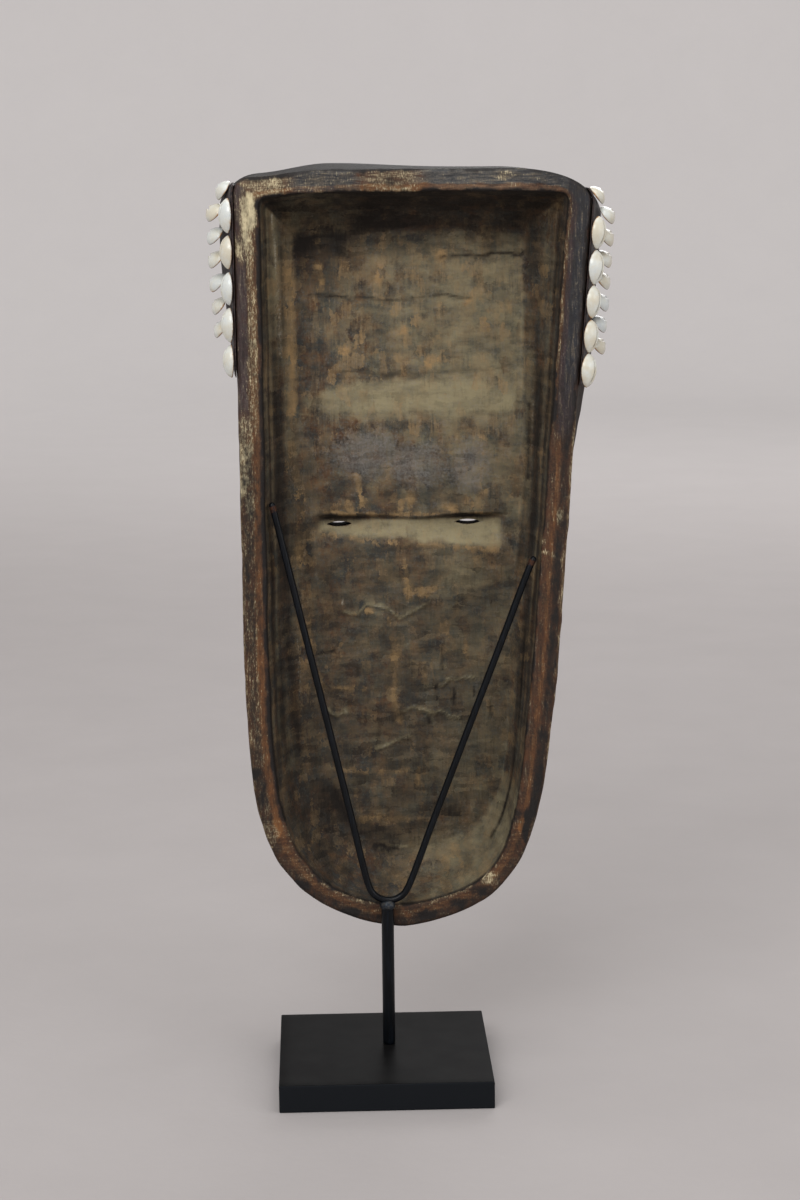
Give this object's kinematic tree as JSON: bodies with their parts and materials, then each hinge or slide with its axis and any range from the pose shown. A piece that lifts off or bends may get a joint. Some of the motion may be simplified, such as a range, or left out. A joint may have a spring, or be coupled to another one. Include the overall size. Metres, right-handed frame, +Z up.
{
  "type": "carved wooden mask on stand",
  "caption": "Tall hollow wooden face mask with slit eyes and shell-trimmed leather on its temples, held upright by a forked rod and post on a square black base",
  "frame": {"origin": "centre of the underside of the base block, where the stand rests on a flat surface", "axes": "+Z up along the mask's length; the carved face looks to -Y and the open hollow back to +Y; +X is on the viewer's left when the hollow back is seen"},
  "size_m": [0.2678, 0.1739, 0.6046],
  "materials": {
    "carved_wood": "dry, worn, with old dark paint",
    "dark_leather": "dull",
    "cowrie_shell": "glossy natural shell",
    "black_board": "satin black paint",
    "black_rod": "satin black"
  },
  "bodies": {
    "root": {"mask": "carved_wood", "temple_band_left": "dark_leather", "temple_band_right": "dark_leather", "cowrie_left_edge_1": "cowrie_shell", "cowrie_left_edge_2": "cowrie_shell", "cowrie_left_edge_3": "cowrie_shell", "cowrie_left_edge_4": "cowrie_shell", "cowrie_left_edge_5": "cowrie_shell", "cowrie_right_edge_1": "cowrie_shell", "cowrie_right_edge_2": "cowrie_shell", "cowrie_right_edge_3": "cowrie_shell", "cowrie_right_edge_4": "cowrie_shell", "cowrie_right_edge_5": "cowrie_shell", "cowrie_left_outer_1": "cowrie_shell", "cowrie_left_outer_2": "cowrie_shell", "cowrie_left_outer_3": "cowrie_shell", "cowrie_left_outer_4": "cowrie_shell", "cowrie_left_outer_5": "cowrie_shell", "cowrie_left_outer_6": "cowrie_shell", "cowrie_left_outer_7": "cowrie_shell", "cowrie_right_outer_1": "cowrie_shell", "cowrie_right_outer_2": "cowrie_shell", "cowrie_right_outer_3": "cowrie_shell", "cowrie_right_outer_4": "cowrie_shell", "cowrie_right_outer_5": "cowrie_shell", "cowrie_right_outer_6": "cowrie_shell", "cowrie_right_outer_7": "cowrie_shell", "cowrie_right_outer_8": "cowrie_shell", "base_block": "black_board", "post": "black_rod", "cradle_rod": "black_rod"}
  },
  "joints": []
}
